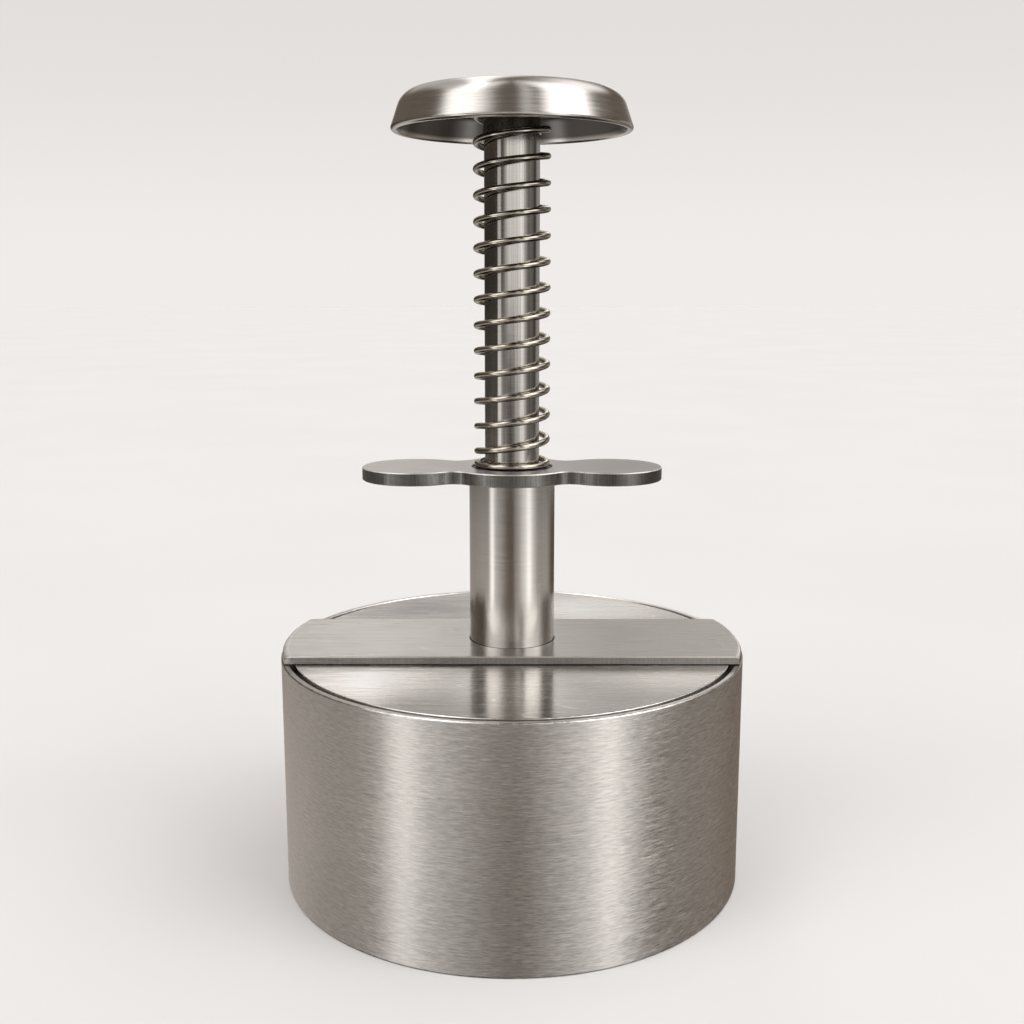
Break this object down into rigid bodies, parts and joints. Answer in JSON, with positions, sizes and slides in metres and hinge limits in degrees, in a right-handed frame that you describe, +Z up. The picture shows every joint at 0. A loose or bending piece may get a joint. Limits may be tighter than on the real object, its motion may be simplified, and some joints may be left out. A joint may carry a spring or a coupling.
{
  "type": "burger press",
  "caption": "Round steel burger mould with a cross bar, guide tube, finger plate and a sprung plunger that carries a press disc and a domed palm knob.",
  "frame": {"origin": "centre of the mould ring's lower rim, on the surface that the press stands on", "axes": "+Z up along the plunger, +X along the cross bar and the finger plate, -Y towards the viewer of the picture"},
  "size_m": [0.11, 0.11, 0.1855],
  "materials": {
    "ring_steel": "stainless steel brushed round the ring",
    "plate_steel": "stainless steel brushed along its length",
    "tube_steel": "fine turned stainless steel",
    "knob_steel": "pressed stainless steel, satin polished in circles",
    "spring_wire": "bright drawn stainless wire",
    "bush_acetal": "black acetal"
  },
  "bodies": {
    "frame": {"mould_ring": "ring_steel", "cross_bar": "plate_steel", "guide_tube": "tube_steel", "finger_plate": "plate_steel", "upper_guide_bush": "bush_acetal", "lower_guide_bush": "bush_acetal", "return_spring": "spring_wire"},
    "spring_seat": {"spring_washer": "tube_steel"},
    "plunger": {"plunger_rod": "tube_steel", "knob_cap": "knob_steel", "knob_boss": "tube_steel", "press_plate": "plate_steel", "plate_screw": "tube_steel"}
  },
  "joints": [
    {"name": "plunge", "type": "slide", "parent": "frame", "child": "spring_seat", "axis": [0, 0, -1], "range_m": [0, 0.052], "stiffness_N_per_m": 1200, "springref_m": -0.0125, "deforming": ["return_spring"]},
    {"name": "plunger_turn", "type": "hinge", "parent": "spring_seat", "child": "plunger", "pos_m": [0, 0, 0.1826], "axis": [0, 0, 1], "continuous": true}
  ]
}
